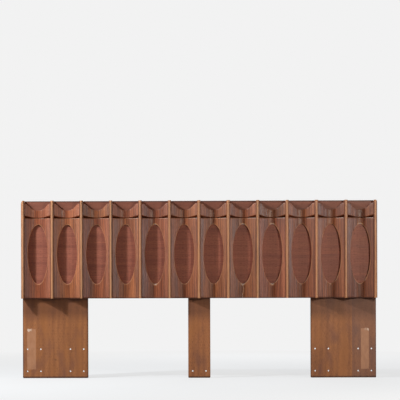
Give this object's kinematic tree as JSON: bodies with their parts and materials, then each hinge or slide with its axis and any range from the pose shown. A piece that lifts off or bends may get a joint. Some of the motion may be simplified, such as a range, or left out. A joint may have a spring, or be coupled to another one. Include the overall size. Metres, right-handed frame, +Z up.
{
  "type": "bed headboard",
  "caption": "Wide walnut bed headboard: scooped slats with oval cut-outs between upright ribs, over a flat back panel, on plank legs drilled for a bed frame.",
  "frame": {"origin": "on the floor, in the middle of the width and of the depth", "axes": "+X to the right seen from the front, -Y towards the front, +Z up"},
  "size_m": [2.032, 0.085, 1.016],
  "materials": {
    "rib_walnut": "oiled walnut, worn light on the noses",
    "slat_walnut": "oiled walnut, vertical grain",
    "panel_walnut": "oiled walnut veneer, horizontal grain",
    "leg_walnut": "oiled walnut plank, vertical grain, worn",
    "rail_wood": "plain unfinished softwood",
    "screw_steel": "dull zinc-plated steel"
  },
  "bodies": {
    "root": {"back_panel": "panel_walnut", "rib_01": "rib_walnut", "rib_02": "rib_walnut", "rib_03": "rib_walnut", "rib_04": "rib_walnut", "rib_05": "rib_walnut", "rib_06": "rib_walnut", "rib_07": "rib_walnut", "rib_08": "rib_walnut", "rib_09": "rib_walnut", "rib_10": "rib_walnut", "rib_11": "rib_walnut", "rib_12": "rib_walnut", "rib_13": "rib_walnut", "slat_01": "slat_walnut", "slat_02": "slat_walnut", "slat_03": "slat_walnut", "slat_04": "slat_walnut", "slat_05": "slat_walnut", "slat_06": "slat_walnut", "slat_07": "slat_walnut", "slat_08": "slat_walnut", "slat_09": "slat_walnut", "slat_10": "slat_walnut", "slat_11": "slat_walnut", "slat_12": "slat_walnut", "crest_01": "slat_walnut", "crest_02": "slat_walnut", "crest_03": "slat_walnut", "crest_04": "slat_walnut", "crest_05": "slat_walnut", "crest_06": "slat_walnut", "crest_07": "slat_walnut", "crest_08": "slat_walnut", "crest_09": "slat_walnut", "crest_10": "slat_walnut", "crest_11": "slat_walnut", "crest_12": "slat_walnut", "left_leg": "leg_walnut", "centre_leg": "leg_walnut", "right_leg": "leg_walnut", "rear_top_rail": "rail_wood", "rear_bottom_rail_left": "rail_wood", "rear_bottom_rail_right": "rail_wood", "leg_screws": "screw_steel", "rail_screws": "screw_steel", "panel_screws": "screw_steel"}
  },
  "joints": []
}
